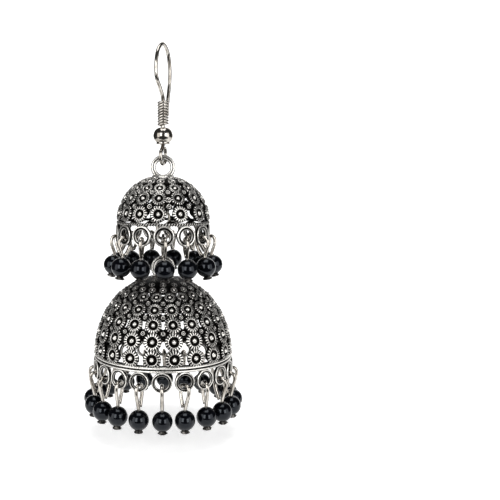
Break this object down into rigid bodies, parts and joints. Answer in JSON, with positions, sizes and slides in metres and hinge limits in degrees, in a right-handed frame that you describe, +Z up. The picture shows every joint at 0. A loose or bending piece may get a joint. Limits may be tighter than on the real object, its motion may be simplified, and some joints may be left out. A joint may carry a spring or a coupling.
{
  "type": "two-tier jhumka earring",
  "caption": "Hooked drop earring with a small pierced bell over a large pierced bell, each hung with rings and black bead drops.",
  "frame": {"origin": "inner underside of the ear hook's top bend, where the wire rests in the ear", "axes": "+Z up along the hanging earring, which is its longest extent; -Y the front, towards the viewer; +X to the viewer's right"},
  "size_m": [0.0322, 0.0323, 0.0734],
  "materials": {
    "bright_silver": "polished silver-coloured wire",
    "oxidised_silver": "cast relief, blackened in the recesses and bright on the high parts",
    "black_bead": "glossy opaque black bead on a silver-coloured wire"
  },
  "bodies": {
    "ear_wire": {"ear_hook": "bright_silver", "hook_coil": "bright_silver", "hook_ball": "bright_silver"},
    "upper_tier": {"small_bell": "oxidised_silver", "link_1": "bright_silver", "link_2": "bright_silver", "link_3": "bright_silver", "small_drop_01": "black_bead", "small_drop_02": "black_bead", "small_drop_03": "black_bead", "small_drop_04": "black_bead", "small_drop_05": "black_bead", "small_drop_06": "black_bead", "small_drop_07": "black_bead", "small_drop_08": "black_bead", "small_drop_09": "black_bead", "small_drop_10": "black_bead", "small_drop_11": "black_bead", "small_drop_12": "black_bead", "small_drop_13": "black_bead"},
    "lower_tier": {"large_bell": "oxidised_silver", "large_drop_01": "black_bead", "large_drop_02": "black_bead", "large_drop_03": "black_bead", "large_drop_04": "black_bead", "large_drop_05": "black_bead", "large_drop_06": "black_bead", "large_drop_07": "black_bead", "large_drop_08": "black_bead", "large_drop_09": "black_bead", "large_drop_10": "black_bead", "large_drop_11": "black_bead", "large_drop_12": "black_bead", "large_drop_13": "black_bead", "large_drop_14": "black_bead", "large_drop_15": "black_bead", "large_drop_16": "black_bead", "large_drop_17": "black_bead", "large_drop_18": "black_bead", "large_drop_19": "black_bead", "large_drop_20": "black_bead"}
  },
  "joints": [
    {"name": "earring_swing", "type": "hinge", "parent": "ear_wire", "child": "upper_tier", "pos_m": [0, 0, -0.02275], "axis": [0, 1, 0], "range_deg": [-25, 25]},
    {"name": "large_bell_swing", "type": "hinge", "parent": "upper_tier", "child": "lower_tier", "pos_m": [0, 0, -0.04246], "axis": [0, 1, 0], "range_deg": [-15, 15]}
  ]
}
